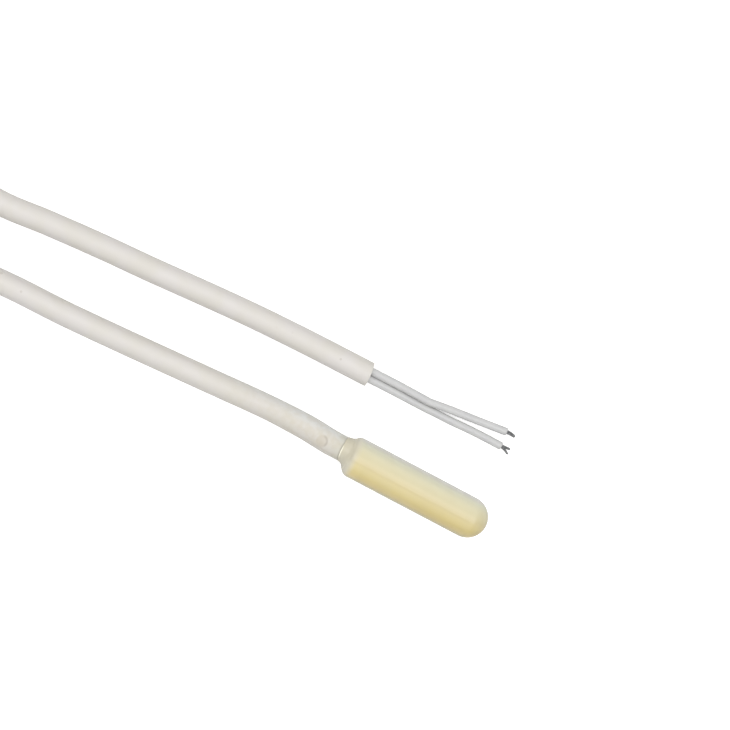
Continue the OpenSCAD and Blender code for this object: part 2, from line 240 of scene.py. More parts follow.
def wire_up(tree, *links):
    """Links nodes. Each link: a node, its output's name, the next node, its input's name."""
    for source, output, target, name in links:
        tree.links.new(source.outputs[output], target.inputs[name])


def maths(tree, operation, a, b=None, clamp=False):
    made = tree.nodes.new("ShaderNodeMath")
    made.operation = operation
    made.use_clamp = clamp
    for i, value in enumerate((a, b)):
        if value is None:
            continue
        if isinstance(value, (int, float)):
            made.inputs[i].default_value = value
        else:
            tree.links.new(value, made.inputs[i])
    return made.outputs[0]


def times(tree, a, b):
    return maths(tree, "MULTIPLY", a, b)


def remap(tree, value, low, high, to_low=0.0, to_high=1.0, smooth=True):
    made = tree.nodes.new("ShaderNodeMapRange")
    made.interpolation_type = "SMOOTHSTEP" if smooth else "LINEAR"
    tree.links.new(value, made.inputs["Value"])
    limits = {"From_Min": low, "From_Max": high, "To_Min": to_low, "To_Max": to_high}
    return set_inputs(made, limits).outputs[0]


def blend(tree, mask, a, b):
    """Mixes colour a towards colour b by the mask."""
    made = tree.nodes.new("ShaderNodeMix")
    made.data_type = "RGBA"
    tree.links.new(mask, made.inputs["Factor"])
    # In this node's lists 6 and 7 are the colours to mix, and 2 is the mixed one
    for socket, value in ((made.inputs[6], a), (made.inputs[7], b)):
        if isinstance(value, bpy.types.NodeSocket):
            tree.links.new(value, socket)
        else:
            socket.default_value = (*value, 1)
    return made.outputs[2]


def tint(tree, colour, mask, share, rgb):
    """Mixes a colour towards an sRGB one by a share of the mask."""
    return blend(tree, times(tree, mask, share), colour, srgb(*rgb))


def split(tree, coords):
    """The coordinates' X, Y and Z, by name."""
    made = tree.nodes.new("ShaderNodeSeparateXYZ")
    tree.links.new(coords, made.inputs[0])
    return made.outputs


def stored(tree, name):
    """A number that the mesh's points keep under a name."""
    made = tree.nodes.new("ShaderNodeAttribute")
    made.attribute_name = name
    return made.outputs["Fac"]


def vector_value(tree, operation, coords, vector):
    """The distance to a point, or the dot product with a direction."""
    made = tree.nodes.new("ShaderNodeVectorMath")
    made.operation = operation
    tree.links.new(coords, made.inputs[0])
    made.inputs[1].default_value = vector
    return made.outputs["Value"]


def near_point(tree, coords, point, radius, soft):
    """A round mask about a point, in metres."""
    away = vector_value(tree, "DISTANCE", coords, point)
    return remap(tree, away, radius + soft, radius - soft)


def new_group(name, numbers, outputs):
    """A shader group that takes a vector and some numbers, and its two end nodes."""
    tree = bpy.data.node_groups.new(name, "ShaderNodeTree")
    new_socket, number = tree.interface.new_socket, "NodeSocketFloat"
    new_socket("Vector", in_out="INPUT", socket_type="NodeSocketVector")
    for socket in numbers:
        new_socket(socket, in_out="INPUT", socket_type=number)
    for socket in outputs:
        new_socket(socket, in_out="OUTPUT", socket_type=number)
    return tree, tree.nodes.new("NodeGroupInput"), tree.nodes.new("NodeGroupOutput")


def put_group(tree, group, coords, **inputs):
    made = tree.nodes.new("ShaderNodeGroup")
    made.node_tree = group
    tree.links.new(coords, made.inputs["Vector"])
    return set_inputs(made, inputs)


def grain_group():
    """Fine unevenness of moulded and extruded plastic, as a height and a mask of patches."""
    if group := bpy.data.node_groups.get("Plastic grain"):
        return group
    numbers = ["Grains per metre", "Waves per metre"]
    tree, start, end = new_group("Plastic grain", numbers, ["Height", "Patches"])
    fine = node(tree, "ShaderNodeTexNoise", Detail=3.0, Roughness=0.6)
    slow = node(tree, "ShaderNodeTexNoise", Detail=2.0, Roughness=0.5)
    wire_up(
        tree,
        (start, "Vector", fine, "Vector"),
        (start, "Vector", slow, "Vector"),
        (start, "Grains per metre", fine, "Scale"),
        (start, "Waves per metre", slow, "Scale"),
    )
    low = times(tree, slow.outputs["Fac"], 0.7)
    height = maths(tree, "ADD", times(tree, fine.outputs["Fac"], 0.3), low)
    tree.links.new(height, end.inputs["Height"])
    tree.links.new(remap(tree, slow.outputs["Fac"], 0.35, 0.65), end.inputs["Patches"])
    return tree


def marks_group():
    """Sparse specks that handling leaves on plastic, gathered in clouds, as one mask."""
    if group := bpy.data.node_groups.get("Handling marks"):
        return group
    tree, start, end = new_group("Handling marks", ["Specks per metre", "Coverage"], ["Mask"])
    cells = node(tree, "ShaderNodeTexVoronoi", Randomness=1.0)
    cloud = node(tree, "ShaderNodeTexNoise", Detail=3.0)
    wire_up(
        tree,
        (start, "Vector", cells, "Vector"),
        (start, "Vector", cloud, "Vector"),
        (start, "Specks per metre", cells, "Scale"),
    )
    clouds = times(tree, start.outputs["Specks per metre"], 0.35)
    tree.links.new(clouds, cloud.inputs["Scale"])
    speck = maths(tree, "LESS_THAN", cells.outputs["Distance"], start.outputs["Coverage"])
    where = remap(tree, cloud.outputs["Fac"], 0.52, 0.68)
    tree.links.new(times(tree, speck, where), end.inputs["Mask"])
    return tree


def put_grain(tree, coords, grains, waves=500.0):
    group = grain_group()
    return put_group(tree, group, coords, Grains_per_metre=grains, Waves_per_metre=waves)


def put_marks(tree, coords, specks=900.0, coverage=0.1):
    group = marks_group()
    return put_group(tree, group, coords, Specks_per_metre=specks, Coverage=coverage)


def new_material(name, roughness=0.4, **plain):
    """A material with its node tree, its Principled shader and its object coordinates."""
    material = bpy.data.materials.new(name)
    material.use_nodes = True
    tree = material.node_tree
    shader = set_inputs(tree.nodes["Principled BSDF"], {"Roughness": roughness, **plain})
    coords = tree.nodes.new("ShaderNodeTexCoord").outputs["Object"]
    return material, tree, shader, coords


def finish_shader(tree, shader, colour, grain, roughness, bump, relief=None):
    """Links the colour, and the grain's height as roughness in a range and as bump.

    bump: strength, and depth in millimetres. relief: a height for the bump other than the grain's.
    """
    height = grain.outputs["Height"]
    strength, depth = bump
    made = node(tree, "ShaderNodeBump", Strength=strength, Distance=depth * MM)
    tree.links.new(height if relief is None else relief, made.inputs["Height"])
    wire_up(tree, (made, "Normal", shader, "Normal"))
    tree.links.new(colour, shader.inputs["Base Color"])
    # Most of the grain's height lies between 0.3 and 0.7
    tree.links.new(remap(tree, height, 0.3, 0.7, *roughness), shader.inputs["Roughness"])


def plain_plastic(name, base, worn, roughness, grains=6000.0, depth=0.02):
    """Moulded or extruded plastic that drifts between two colours."""
    material, tree, shader, coords = new_material(name, roughness)
    grain = put_grain(tree, coords, grains)
    marks = put_marks(tree, coords)
    colour = blend(tree, grain.outputs["Patches"], base, worn)
    colour = blend(tree, times(tree, marks.outputs["Mask"], 0.25), colour, (0.2, 0.18, 0.15))
    limits = (roughness - 0.06, roughness + 0.08)
    finish_shader(tree, shader, colour, grain, limits, (0.35, depth))
    return material


def metal_material(name, colour, roughness, dull):
    """Drawn or tinned metal, duller in patches."""
    material, tree, shader, coords = new_material(name, roughness, Metallic=1.0)
    grain = put_grain(tree, coords, 16000.0, 2200.0)
    patchy = blend(tree, grain.outputs["Patches"], colour, dull)
    finish_shader(tree, shader, patchy, grain, (roughness - 0.1, roughness + 0.12), (0.4, 0.01))
    return material


# Mesh helpers


def finish_piece(piece, material, slot, *nodes):
    """Gives a piece its material and ties it to the frame."""
    if material is not None:
        piece.data.materials.clear()
        piece.data.materials.append(material)
    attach(piece, "root")
    if nodes:
        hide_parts(*nodes)


def dress(material, *nodes):
    """Gives CAD nodes a material in place of their plain one."""
    for name in nodes:
        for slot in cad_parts[name].material_slots:
            slot.material = material


def object_from(name, bm, smooth=True, angle=None):
    """An object from a bmesh. angle: edges that bend more than this, in radians, stay sharp."""
    mesh = bpy.data.meshes.new(name)
    bmesh.ops.recalc_face_normals(bm, faces=bm.faces)
    if smooth:
        for face in bm.faces:
            face.smooth = True
    if angle is not None:
        for edge in bm.edges:
            if len(edge.link_faces) == 2 and edge.calc_face_angle(0) > angle:
                edge.smooth = False
    bm.to_mesh(mesh)
    bm.free()
    made = bpy.data.objects.new(name, mesh)
    bpy.context.collection.objects.link(made)
    return made


def bridge_rings(bm, rings):
    """Faces between rings of vertices, all of one length."""
    count = len(rings[0])
    for a, b in zip(rings, rings[1:]):
        for k in range(count):
            m = (k + 1) % count
            bm.faces.new((a[k], a[m], b[m], b[k]))


def headings(points):
    """Direction of a route at each of its points."""
    before, after = [points[0], *points], [*points[1:], points[-1]]
    return [(b - a).normalized() for a, b in zip(before, after)]


def smooth_route(points, step, first=None, last=None):
    """Points a step apart on a smooth curve through the given ones, in millimetres."""
    points = [Vector(p) for p in points]
    slopes = headings(points)
    if first is not None:
        slopes[0] = Vector(first).normalized()
    if last is not None:
        slopes[-1] = Vector(last).normalized()
    made = [points[0]]
    for i in range(len(points) - 1):
        a, b = points[i], points[i + 1]
        reach = (b - a).length
        count = max(2, round(reach / step))
        for k in range(1, count + 1):
            t = k / count
            made.append(
                a * (2 * t**3 - 3 * t**2 + 1)
                + slopes[i] * reach * (t**3 - 2 * t**2 + t)
                + b * (3 * t**2 - 2 * t**3)
                + slopes[i + 1] * reach * (t**3 - t**2)
            )
    return made


def cross_frames(points):
    """Heading, sideways and upward direction at each point of a route near the table."""
    made = []
    for heading in headings(points):
        side = Vector((0, 0, 1)).cross(heading).normalized()
        made.append((heading, side, heading.cross(side)))
    return made


def tube_tree():
    """Geometry Nodes: a closed tube along a curve, with the distance along it kept as 'along'."""
    if group := bpy.data.node_groups.get("Tube along a route"):
        return group
    tree = bpy.data.node_groups.new("Tube along a route", "GeometryNodeTree")
    for name, kind in (
        ("Geometry", "NodeSocketGeometry"),
        ("Radius", "NodeSocketFloat"),
        ("Sides", "NodeSocketInt"),
        ("Material", "NodeSocketMaterial"),
    ):
        tree.interface.new_socket(name, in_out="INPUT", socket_type=kind)
    tree.interface.new_socket("Geometry", in_out="OUTPUT", socket_type="NodeSocketGeometry")
    start, end = node(tree, "NodeGroupInput"), node(tree, "NodeGroupOutput")
    along = node(tree, "GeometryNodeSplineParameter")
    store = node(tree, "GeometryNodeStoreNamedAttribute", Name="along")
    store.data_type, store.domain = "FLOAT", "POINT"
    outline = node(tree, "GeometryNodeCurvePrimitiveCircle")
    tube = node(tree, "GeometryNodeCurveToMesh", Fill_Caps=True)
    swell = node(tree, "GeometryNodeInputRadius")
    shade = node(tree, "GeometryNodeSetShadeSmooth")
    realize = node(tree, "GeometryNodeRealizeInstances")
    paint = node(tree, "GeometryNodeSetMaterial")
    wire_up(
        tree,
        (start, "Geometry", store, "Geometry"),
        (along, "Length", store, "Value"),
        (store, "Geometry", tube, "Curve"),
        (start, "Sides", outline, "Resolution"),
        (start, "Radius", outline, "Radius"),
        (outline, "Curve", tube, "Profile Curve"),
        (swell, "Radius", tube, "Scale"),
        (tube, "Mesh", shade, "Geometry"),
        (shade, "Geometry", realize, "Geometry"),
        (realize, "Geometry", paint, "Geometry"),
        (start, "Material", paint, "Material"),
        (paint, "Geometry", end, "Geometry"),
    )
    return tree


def tube_along(name, points, radius, sides, material, swell=None):
    """A plain mesh tube along points in millimetres. swell: each point's share of the radius."""
    curve = bpy.data.curves.new(name + "_route", "CURVE")
    curve.dimensions = "3D"
    spline = curve.splines.new("POLY")
    spline.points.add(len(points) - 1)
    for i, p in enumerate(points):
        spline.points[i].co = (*(p * MM), 1)
        spline.points[i].radius = swell[i] if swell else 1
    guide = bpy.data.objects.new(name + "_route", curve)
    bpy.context.collection.objects.link(guide)
    tree = tube_tree()
    modifier = guide.modifiers.new("Tube", "NODES")
    modifier.node_group = tree
    values = {"Radius": radius * MM, "Sides": sides, "Material": material}
    for item in tree.interface.items_tree:
        if item.in_out == "INPUT" and item.name in values:
            modifier[item.identifier] = values[item.name]
    graph = bpy.context.evaluated_depsgraph_get()
    mesh = bpy.data.meshes.new_from_object(
        guide.evaluated_get(graph), preserve_all_data_layers=True, depsgraph=graph
    )
    mesh.name = name
    made = bpy.data.objects.new(name, mesh)
    bpy.context.collection.objects.link(made)
    bpy.data.objects.remove(guide)
    bpy.data.curves.remove(curve)
    if not mesh.polygons:
        raise RuntimeError(f"{name}: the tube came out empty")
    return made


# The cord's routes


def turn_sections(hank):
    """One turn of the hank's inner column: centre, radius, start and end angle, outward sign,
    which side of the hank it is on, in the order that the cable follows."""
    fold = hank.fold_radius / MM
    half = hank.waist_run / MM / 2
    pinch = fold + CABLE_MM
    pinch_y = pinch + CABLE_RADIUS
    lobe_x = half + math.sqrt((fold + pinch) ** 2 - pinch_y**2)
    tip = math.degrees(math.atan2(pinch_y, lobe_x - half))
    return lobe_x, [
        ((lobe_x, 0), fold, -90, tip - 180, 1, "low"),
        ((half, -pinch_y), pinch, tip, 90, -1, "low"),
        ((-half, -pinch_y), pinch, 90, 180 - tip, -1, "low"),
        ((-lobe_x, 0), fold, -tip, tip - 360, 1, "far"),
        ((-half, pinch_y), pinch, tip - 180, -90, -1, "high"),
        ((half, pinch_y), pinch, -90, -tip, -1, "high"),
        ((lobe_x, 0), fold, 180 - tip, -90, 1, "near"),
    ]


def slot_place(q, layers):
    """Column, layer and lift of the place q on the ring of places in the hank's section."""
    top = layers - 1
    bulge = math.sin(math.pi * (q - math.floor(q))) ** 2
    if q <= top:
        column, layer = 1, q
    elif q <= top + 1:
        column, layer = top + 1 - q, top
    elif q <= 2 * top + 1:
        column, layer = 0, 2 * top + 1 - q
    else:
        column, layer = q - 2 * top - 1, 0
    lift = LIFT * min(1, layer / 0.5) + LIFT * max(0, min(1, (layer - top + 0.5) / 0.5))
    return column * (CABLE_MM + SPREAD * bulge), layer, bulge * lift


def ease(t):
    t = max(0.0, min(1.0, t))
    return t * t * (3 - 2 * t)


def hank_route(hank, step):
    """The folded length of the cable, in millimetres, from the head's lead to the tail's."""
    layers = hank.layers
    lobe_x, sections = turn_sections(hank)
    tie = hank.tie_wall / MM
    full = layers * CABLE_MM
    turns = 2 * layers
    made = []
    for turn in range(turns):
        for centre, radius, a0, a1, outward, side in sections:
            # The last turn ends where the tail leaves it
            stop = 90 if turn == turns - 1 and side == "near" else a1
            length = abs(math.radians(stop - a0)) * radius
            count = max(2, round(length / step))
            for k in range(count):
                t = k / count
                a = a0 + (stop - a0) * t
                place = turn + {"low": 0, "far": ease(t), "high": 1, "near": 1}[side]
                column, layer, lift = slot_place(place, layers)
                r = radius + outward * column
                x = centre[0] + r * math.cos(math.radians(a))
                y = centre[1] + r * math.sin(math.radians(a))
                z = CABLE_RADIUS + CABLE_MM * layer + lift
                if centre[0] > lobe_x - 1 and column > 1 and layer > 0.5:
                    z -= SAG * ease((SAG_WITHIN - abs(a)) / SAG_OVER)
                squeeze = ease((PRESS_WITHIN - abs(x)) / PRESS_OVER)
                z = z * (1 - squeeze) + (tie + z * (full - tie) / full) * squeeze
                made.append(Vector((HANK_X + x, HANK_Y + y, z)))
    made.append(Vector((HANK_X + lobe_x, HANK_Y + FOLD_RADIUS + CABLE_MM, CABLE_RADIUS)))
    return made


def cable_route(hank, step=1.25):
    """The whole cable's line, from inside the head to the end of its jacket."""
    low = CABLE_RADIUS
    folded = hank_route(hank, step)
    head = [(x, CABLE_OFFSET, AXIS_Z) for x in (CAPSULE_X, LIP_X, LIP_X - STRAIGHT_RUN)]
    head += [(LIP_X - a, y, low + share * (AXIS_Z - low)) for a, y, share in HEAD_RUN]
    head += [tuple(folded[0])]
    tail = [tuple(folded[-1])] + [(LIP_X - a, y, low) for a, y in TAIL_RUN] + [JACKET_END]
    out = smooth_route(head, step, last=(-1, 0, 0))
    back = smooth_route(tail, step, first=(1, 0, 0))
    return out + folded[1:-1] + back


def wire_route(rows, side, wires, step=0.4):
    """Line of a wire from the jacket's end: side is 1 for the higher wire and -1 for the lower."""
    d = wires.diameter / MM
    x, y, z = JACKET_END[0], JACKET_END[1] + side * 0.49 * d, JACKET_END[2] + side * 0.1 * d
    # It starts a little inside the jacket
    points = [(x - 0.3, y, z)]
    points += [(x + a, y + b, d / 2 + share * (z - d / 2)) for a, b, share in rows]
    return smooth_route(points, step)


# Materials of this object


def jacket_material(cable):
    """Off-white extruded jacket, mottled near the head, with one round witness mark."""
    material, tree, shader, coords = new_material("Cable jacket", 0.42)
    grain = put_grain(tree, coords, 5200.0, 260.0)
    mottle = put_grain(tree, coords, 2400.0, 1100.0)
    marks = put_marks(tree, coords, 420.0, 0.08)
    place = split(tree, coords)
    at_head = remap(tree, stored(tree, "along"), 30 * MM, 4 * MM)
    aged = times(tree, grain.outputs["Patches"], 0.55)
    colour = blend(tree, aged, cable.jacket_colour, cable.aged_colour)
    colour = tint(tree, colour, at_head, 0.35, (196, 191, 175))
    # Painted highlight: a lighter, whiter band along the jacket's +Y side near the head
    highlight_band = times(tree, remap(tree, place["Y"], 0.7 * MM, 2.0 * MM), at_head)
    colour = tint(tree, colour, highlight_band, 0.9, (211, 212, 210))
    by_lip = remap(tree, place["X"], -14.2 * MM, -12.2 * MM)
    colour = tint(tree, colour, by_lip, 0.5, (190, 188, 172))
    stain = times(tree, mottle.outputs["Patches"], at_head)
    colour = tint(tree, colour, stain, 0.3, (190, 181, 160))

    # The lip's edge lies in a slanting plane, and a painted shadow runs along it on the jacket,
    # where the lip stands off the cable
    aside, up = LIP_LEAN_SIDE / CABLE_RADIUS, LIP_LEAN_UP / CABLE_RADIUS
    edge = (LIP_X + aside * CABLE_OFFSET + up * AXIS_Z) * MM
    past_lip = vector_value(tree, "DOT_PRODUCT", coords, (1, aside, up))
    lip_shadow = remap(tree, past_lip, edge - 0.22 * MM, edge - 0.1 * MM)
    lip_shadow = times(tree, lip_shadow, remap(tree, place["Y"], 1.4 * MM, 0.7 * MM))
    colour = tint(tree, colour, lip_shadow, 0.4, (150, 145, 125))
    colour = tint(tree, colour, marks.outputs["Mask"], 0.3, (150, 140, 125))

    # The witness mark is a shallow disc, and one side of its rim is painted dark as the shade of
    # the disc's step
    centre = tuple(c * MM for c in MARK_CENTRE)
    inside = near_point(tree, coords, centre, 0.87 * MM, 0.14 * MM)
    core = near_point(tree, coords, centre, 0.63 * MM, 0.16 * MM)
    rim = maths(tree, "SUBTRACT", inside, core, clamp=True)
    shift = sum(a * b for a, b in zip(MARK_SIDE, centre))
    across = vector_value(tree, "DOT_PRODUCT", coords, MARK_SIDE)
    shaded_crescent = times(tree, rim, remap(tree, across, shift + 0.1 * MM, shift + 0.5 * MM))
    colour = tint(tree, colour, inside, 0.4, (188, 178, 160))
    colour = tint(tree, colour, shaded_crescent, 0.38, (140, 130, 118))
    relief = maths(tree, "ADD", grain.outputs["Height"], times(tree, inside, -0.35))
    finish_shader(tree, shader, colour, grain, (0.34, 0.5), (0.4, 0.05), relief)
    return material


def skin_material(head):
    """Milky translucent skin that clouds over with its depth. The capsule fills it like a lens and
    sits off its axis, so one side is yellower and one cloudier. Its colours also hold painted
    shade across the head and over the shoulder, and a painted highlight on the lip's edge."""
    material, tree, shader, coords = new_material("Milky skin", 0.1, IOR=1.49)
    grain = put_grain(tree, coords, 3500.0, 420.0)
    marks = put_marks(tree, coords, 700.0, 0.07)
    place = split(tree, coords)
    half = head.diameter / 2
    # The ramp paints the skin's colour across the head, its painted shade included
    ramp = tree.nodes.new("ShaderNodeValToRGB")
    ramp.color_ramp.interpolation = "LINEAR"
    tree.links.new(remap(tree, place["Y"], -half, half, smooth=False), ramp.inputs["Fac"])
    stops = ramp.color_ramp.elements
    while len(stops) < len(SKIN_AND_SHADE_ACROSS):
        stops.new(0.5)
    for stop, (side, rgb) in zip(stops, SKIN_AND_SHADE_ACROSS):
        stop.position = (side + 1) / 2
        stop.color = (*rgb, 1)

    # Behind the capsule the skin is solid. Its middle is painted darker than its sides: painted
    # shade that evens out the soft box's light over the shoulder
    off_axis = maths(tree, "ABSOLUTE", maths(tree, "SUBTRACT", place["Y"], 0.5 * MM))
    at_sides = remap(tree, off_axis, 0.5 * MM, 2.4 * MM)
    pale = blend(tree, at_sides, head.shaded_middle_colour, head.skin_colour)
    # Painted shade: the skin turns darker towards the lip, over the flare's start that faces the
    # soft box
    near_lip = remap(tree, place["X"], (LIP_X + 1.3) * MM, (LIP_X + 0.3) * MM)
    pale = tint(tree, pale, near_lip, 0.45, (190, 184, 164))
    # Painted highlight: a near-white crescent along the lip's edge near its top
    pale = blend(tree, stored(tree, "rim"), pale, srgb(250, 247, 228))
    edge = (CAPSULE_X - 0.75) * MM, (CAPSULE_X + 0.45) * MM
    colour = blend(tree, remap(tree, place["X"], *edge), pale, ramp.outputs["Color"])

    # The nose's half is a little more amber on its -Y side
    amber = remap(tree, place["Y"], 0.2 * MM, -1.2 * MM)
    amber = times(tree, amber, remap(tree, place["X"], -1.0 * MM, 2.5 * MM))
    colour = tint(tree, colour, amber, 0.2, (197, 177, 111))
    colour = tint(tree, colour, grain.outputs["Patches"], 0.12, (196, 186, 150))
    colour = tint(tree, colour, marks.outputs["Mask"], 0.12, (150, 135, 100))
    milk = times(tree, stored(tree, "depth"), -head.milkiness)
    cover = maths(tree, "SUBTRACT", 1.0, maths(tree, "EXPONENT", milk))
    tree.links.new(times(tree, cover, stored(tree, "outer")), shader.inputs["Alpha"])
    finish_shader(tree, shader, colour, grain, (0.07, 0.14), (0.2, 0.02))
    return material


# Operators: one for each piece or group of like pieces


class SENSOR_OT_cable(Operator):
    """Lays the cable from the head, through the hank, to the end of its jacket"""

    bl_idname = "sensor.cable"
    bl_label = "Cable and hank"

    def execute(self, context):
        cable, hank = context.scene.sensor_cable, context.scene.sensor_hank
        points = cable_route(hank)
        along, swell = 0, []
        for i, p in enumerate(points):
            along += (p - points[i - 1]).length if i else 0
            # The swell is fullest 6 mm from the cable's start and dies out from there
            rise, fall = ease((along - 2) / 4), ease((along - 6) / (cable.swell_length / MM))
            bulge = (0.7 + 0.3 * rise) * (1 - fall)
            # Outside the hank the cable is 2 % thicker than among its neighbours
            loose = 0.02 * ease((p.x - HANK_X - 25) / 10)
            swell.append(1 + max(cable.swell * bulge, loose))
        radius = cable.diameter / MM / 2
        made = tube_along("cable", points, radius, 24, jacket_material(cable), swell)
        # The last ring on the tail's side is the cut end
        end = JACKET_END[0] * MM
        for v in made.data.vertices:
            if v.co.x > end - 0.4 * MM and v.co.y > 8 * MM:
                v.co.x -= CUT_SLANT * (v.co.y - JACKET_END[1] * MM)
        finish_piece(made, None, "cable_jacket", "cable_head_run", "cable_hank", "cable_tail_run")
        context.scene["cable_length"] = along * MM
        context.scene["cable_points"] = json.dumps(
            [[round(c * MM, 6) for c in p] for p in points]
        )
        return {"FINISHED"}


class SENSOR_OT_tie(Operator):
    """Puts the tie round the hank's waist"""

    bl_idname = "sensor.tie"
    bl_label = "Tie"

    def execute(self, context):
        hank = context.scene.sensor_hank
        width, wall = hank.tie_width / MM, hank.tie_wall / MM
        half, full = WAIST_HALF, CABLE_MM * hank.layers
        bm = bmesh.new()
        # The band's section: shares of half its width and of its thickness
        section = [
            (-1, 0.02), (-0.82, 0), (0.82, 0), (1, 0.02), (1, 0.8), (0.9, 0.97),
            (0.72, 1), (-0.72, 1), (-0.9, 0.97), (-1, 0.8),
        ]
        rings = []
        corners = (half, wall, -90), (half, full, 0), (-half, full, 90), (-half, wall, 180)
        for y, z, a0 in corners:
            base = Vector((HANK_X, HANK_Y + y, z))
            for k in range(7):
                a = math.radians(a0 + 15 * k)
                out = Vector((0, math.cos(a), math.sin(a)))
                rings.append([
                    bm.verts.new((base + out * wall * b + Vector((width / 2 * s, 0, 0))) * MM)
                    for s, b in section
                ])
        bridge_rings(bm, rings + rings[:1])
        lock = (width + 1.8, width + 1.8, 3.0)
        stub = (width, 1.6, 1.0)
        for centre, size, bevel in (
            ((HANK_X, HANK_Y, full + wall + lock[2] / 2), lock, 0.45),
            ((HANK_X, HANK_Y + lock[1] / 2 + 0.7, full + wall + 2.0), stub, 0.2),
        ):
            made = bmesh.ops.create_cube(bm, size=1)["verts"]
            for v in made:
                v.co = Vector([(c + a * s) * MM for c, a, s in zip(centre, v.co, size)])
            edges = list({e for v in made for e in v.link_edges})
            bmesh.ops.bevel(
                bm, geom=edges, offset=bevel * MM, segments=3, affect="EDGES", profile=0.6
            )
        tie = object_from("tie", bm, angle=math.radians(50))
        material = plain_plastic("Tie", hank.tie_colour, srgb(222, 220, 208), 0.36)
        finish_piece(tie, material, "tie", "hank_tie")
        return {"FINISHED"}


class SENSOR_OT_wires(Operator):
    """Makes the two insulated wires that come out of the jacket"""

    bl_idname = "sensor.wires"
    bl_label = "Insulated wires"

    def execute(self, context):
        wires = context.scene.sensor_wires
        # The bore is round the six outer strands, and the wire's cut has small bevels
        outer, inner = wires.diameter / MM / 2, wires.strand / MM * 1.56
        sides = 28
        base, worn = wires.insulation_colour, srgb(192, 192, 191)
        material = plain_plastic("Wire insulation", base, worn, 0.36, 8000.0, 0.012)
        for key, rows, side in (("a", WIRE_A_RUN, 1), ("b", WIRE_B_RUN, -1)):
            points = wire_route(rows, side, wires)
            frames = cross_frames(points)
            last = len(points) - 1
            cut = (outer, -0.025), (outer - 0.025, 0.0), (inner + 0.03, 0.0), (inner, -0.06)
            profile = [(i, outer, 0.0) for i in range(last)] + [(last, *at) for at in cut]
            profile += [(i, inner, 0.0) for i in range(last - 1, -1, -1)]
            bm = bmesh.new()
            rings = []
            for i, r, shift in profile:
                t, s, u = frames[i]
                uneven = 1 + 0.012 * noise.noise(points[i] * 0.9 + Vector((side * 7, 0, 0)))
                middle = points[i] + t * shift
                rings.append([
                    bm.verts.new((middle + (s * math.cos(a) + u * math.sin(a)) * r * uneven) * MM)
                    for a in (2 * math.pi * k / sides for k in range(sides))
                ])
            bridge_rings(bm, rings + rings[:1])
            made = object_from(f"wire_{key}", bm, angle=math.radians(60))
            finish_piece(made, material, "wire_insulation", f"wire_insulation_{key}")
        return {"FINISHED"}


class SENSOR_OT_strands(Operator):
    """Lays seven tinned strands in each wire, out to its bare tip"""

    bl_idname = "sensor.strands"
    bl_label = "Tinned strands"

    def execute(self, context):
        wires = context.scene.sensor_wires
        d, bare = wires.strand / MM, wires.bare / MM
        dull = tuple(c * 0.6 for c in wires.tinned_colour)
        material = metal_material("Tinned copper", wires.tinned_colour, 0.42, dull)
        # How the bare tips bend sideways and up, and how a second prong parts from the first
        ends = {
            "a": (WIRE_A_RUN, 1, (-0.17, 0.02), (0, 0)),
            "b": (WIRE_B_RUN, -1, (0.08, 0.03), (-0.5, 0)),
        }
        for key, (rows, side, bend, prong) in ends.items():
            points = wire_route(rows, side, wires)
            frames = cross_frames(points)
            heading, across, up = frames[-1]
            # Degrees that the bundle twists from one point to the next
            lay = 20 * len(rows) / (len(points) - 1)
            for k in range(7):
                line = []
                for i, p in enumerate(points):
                    a = math.radians(60 * k + lay * i)
                    at = (0, 0) if k == 0 else (d * math.cos(a), d * math.sin(a))
                    line.append(p + frames[i][1] * at[0] + frames[i][2] * at[1])
                reach = bare * (0.87 + 0.06 * math.cos(math.radians(140 * k)))
                away = bend
                if k and at[0] < 0.1 * d:
                    away = (bend[0] + prong[0], bend[1] + prong[1])
                for s in (0.15, 0.3, 0.45, 0.6, 0.75, 0.9, 1.0):
                    # The tip narrows by 30 % and bends more and more
                    y, z = (c * (1 - 0.3 * s) + bent * reach * s * s for c, bent in zip(at, away))
                    line.append(points[-1] + heading * reach * s + across * y + up * z)
                made = tube_along(f"strand_{key}{k + 1}_tinned", line, d / 2 * 0.98, 10, material)
                finish_piece(made, None, "tinned_strand", f"strand_{key}{k + 1}")
        return {"FINISHED"}


def arc(x, y, radius, start, stop, steps):
    """Points on an arc about x, y, from angle start to angle stop, in degrees."""
    angles = [math.radians(start + (stop - start) * k / steps) for k in range(steps + 1)]
    return [(x + radius * math.cos(a), y + radius * math.sin(a)) for a in angles]


